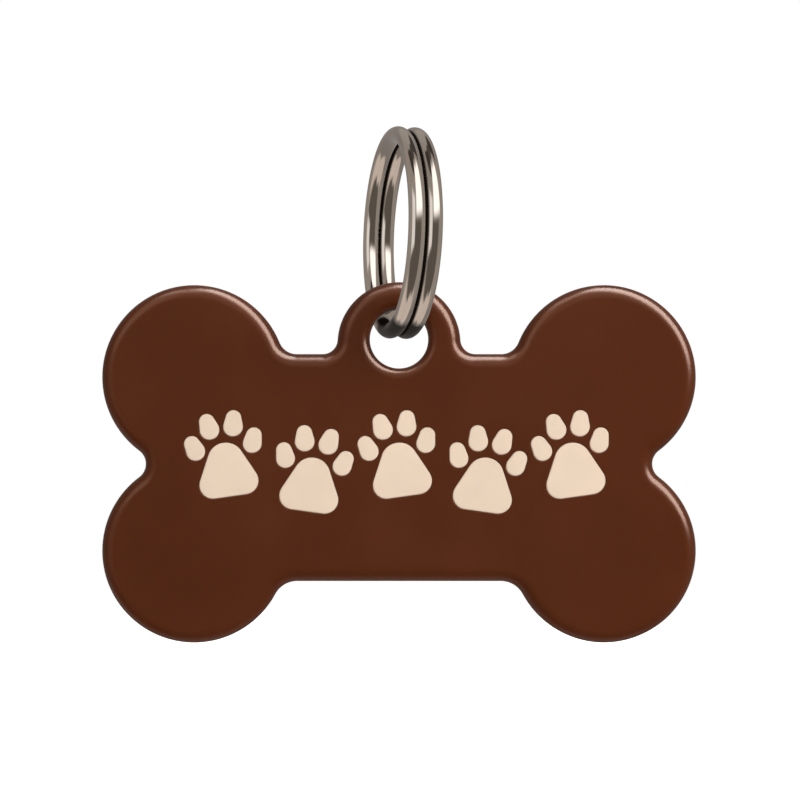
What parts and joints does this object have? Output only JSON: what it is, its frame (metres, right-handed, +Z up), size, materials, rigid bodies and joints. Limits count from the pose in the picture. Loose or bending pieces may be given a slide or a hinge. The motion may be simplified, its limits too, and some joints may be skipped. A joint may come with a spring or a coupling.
{
  "type": "pet id tag",
  "caption": "Bone-shaped pet id tag in brown coated metal with a row of cream enamel paw prints, hanging by its ear on a sprung split ring.",
  "frame": {"origin": "the hang point: inside the top of the split ring, midway between its two turns, where a collar's loop bears", "axes": "+Z up, +X to the right across the tag, +Y from the decorated front to the bare back"},
  "size_m": [0.04, 0.0141, 0.0347],
  "materials": {
    "brown_coat": "satin",
    "nickel_wire": "polished",
    "cream_enamel": "satin"
  },
  "bodies": {
    "ring": {"split_ring": "nickel_wire"},
    "tag": {"tag_plate": "brown_coat", "paw_1_heel": "cream_enamel", "paw_1_toe_1": "cream_enamel", "paw_1_toe_2": "cream_enamel", "paw_1_toe_3": "cream_enamel", "paw_1_toe_4": "cream_enamel", "paw_2_heel": "cream_enamel", "paw_2_toe_1": "cream_enamel", "paw_2_toe_2": "cream_enamel", "paw_2_toe_3": "cream_enamel", "paw_2_toe_4": "cream_enamel", "paw_3_heel": "cream_enamel", "paw_3_toe_1": "cream_enamel", "paw_3_toe_2": "cream_enamel", "paw_3_toe_3": "cream_enamel", "paw_3_toe_4": "cream_enamel", "paw_4_heel": "cream_enamel", "paw_4_toe_1": "cream_enamel", "paw_4_toe_2": "cream_enamel", "paw_4_toe_3": "cream_enamel", "paw_4_toe_4": "cream_enamel", "paw_5_heel": "cream_enamel", "paw_5_toe_1": "cream_enamel", "paw_5_toe_2": "cream_enamel", "paw_5_toe_3": "cream_enamel", "paw_5_toe_4": "cream_enamel"}
  },
  "joints": [
    {"name": "tag_swing", "type": "hinge", "parent": "ring", "child": "tag", "pos_m": [-0.00021, 0, -0.01313], "axis": [0, 1, 0], "range_deg": [-65, 65]}
  ]
}
